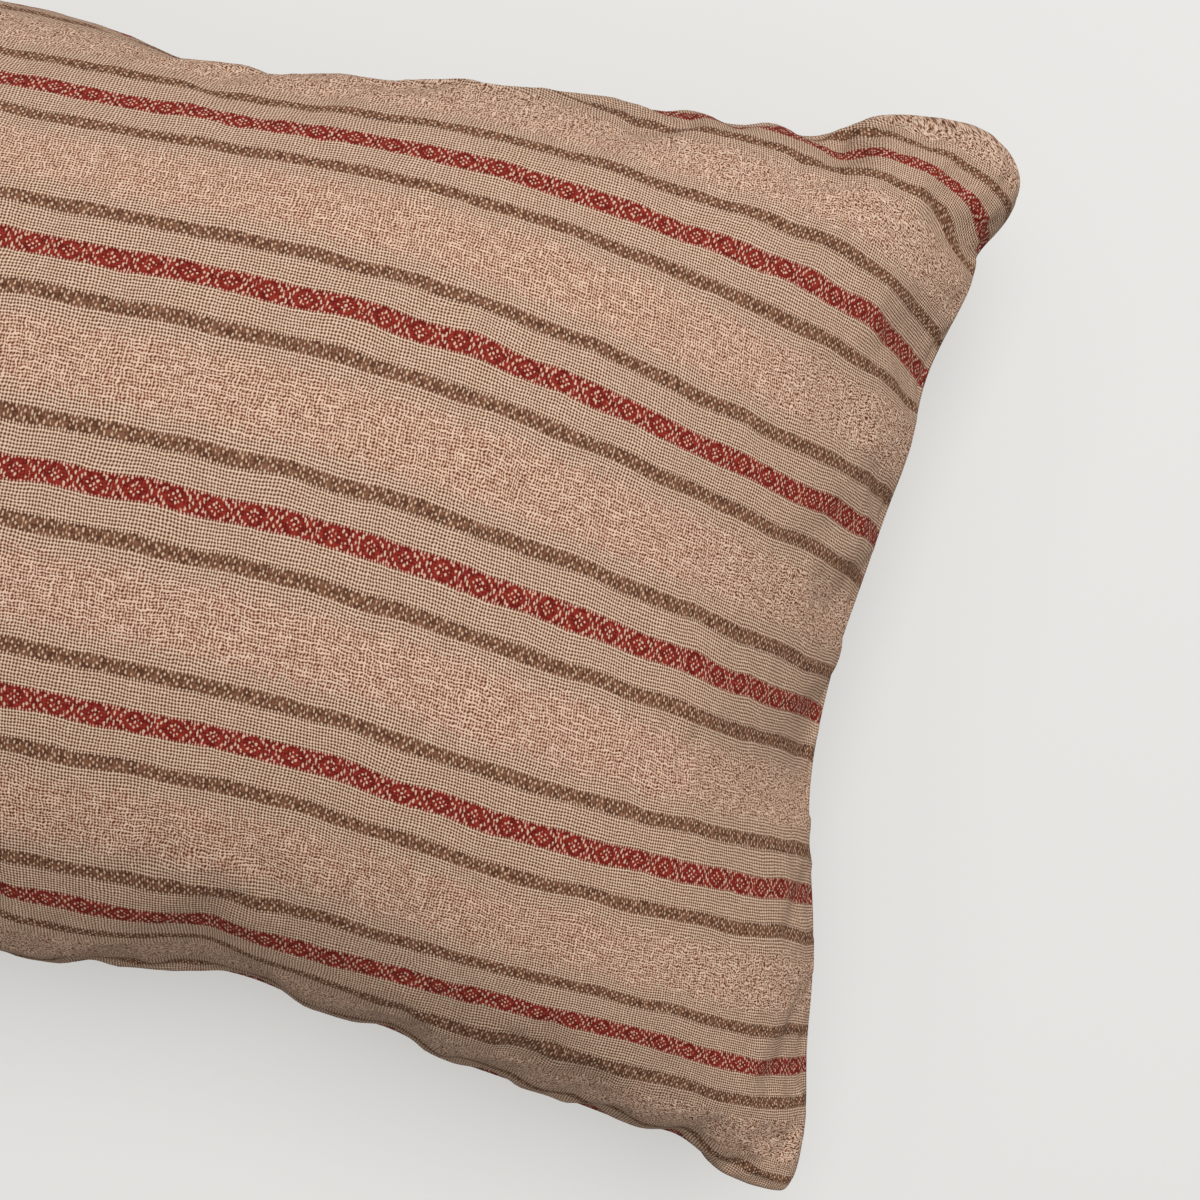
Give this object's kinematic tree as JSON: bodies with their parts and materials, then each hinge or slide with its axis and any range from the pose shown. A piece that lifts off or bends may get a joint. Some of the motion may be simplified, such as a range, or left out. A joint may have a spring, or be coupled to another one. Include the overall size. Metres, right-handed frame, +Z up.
{
  "type": "lumbar pillow",
  "caption": "Plump knife-edge lumbar pillow in striped woven cloth, lying on its back, with drawn-in sides, soft ears and puckered seams.",
  "frame": {"origin": "on the surface that the pillow lies on, below the middle of its outline", "axes": "+X along the pillow's length and its stripes, +Y across it toward the upper long side in the picture, +Z up out of its front panel"},
  "size_m": [0.4672, 0.324, 0.1441],
  "materials": {
    "cloth": "matte woven cotton, tan and pink ground with brown and red warp stripes"
  },
  "bodies": {
    "root": {"pillow": "cloth"}
  },
  "joints": []
}
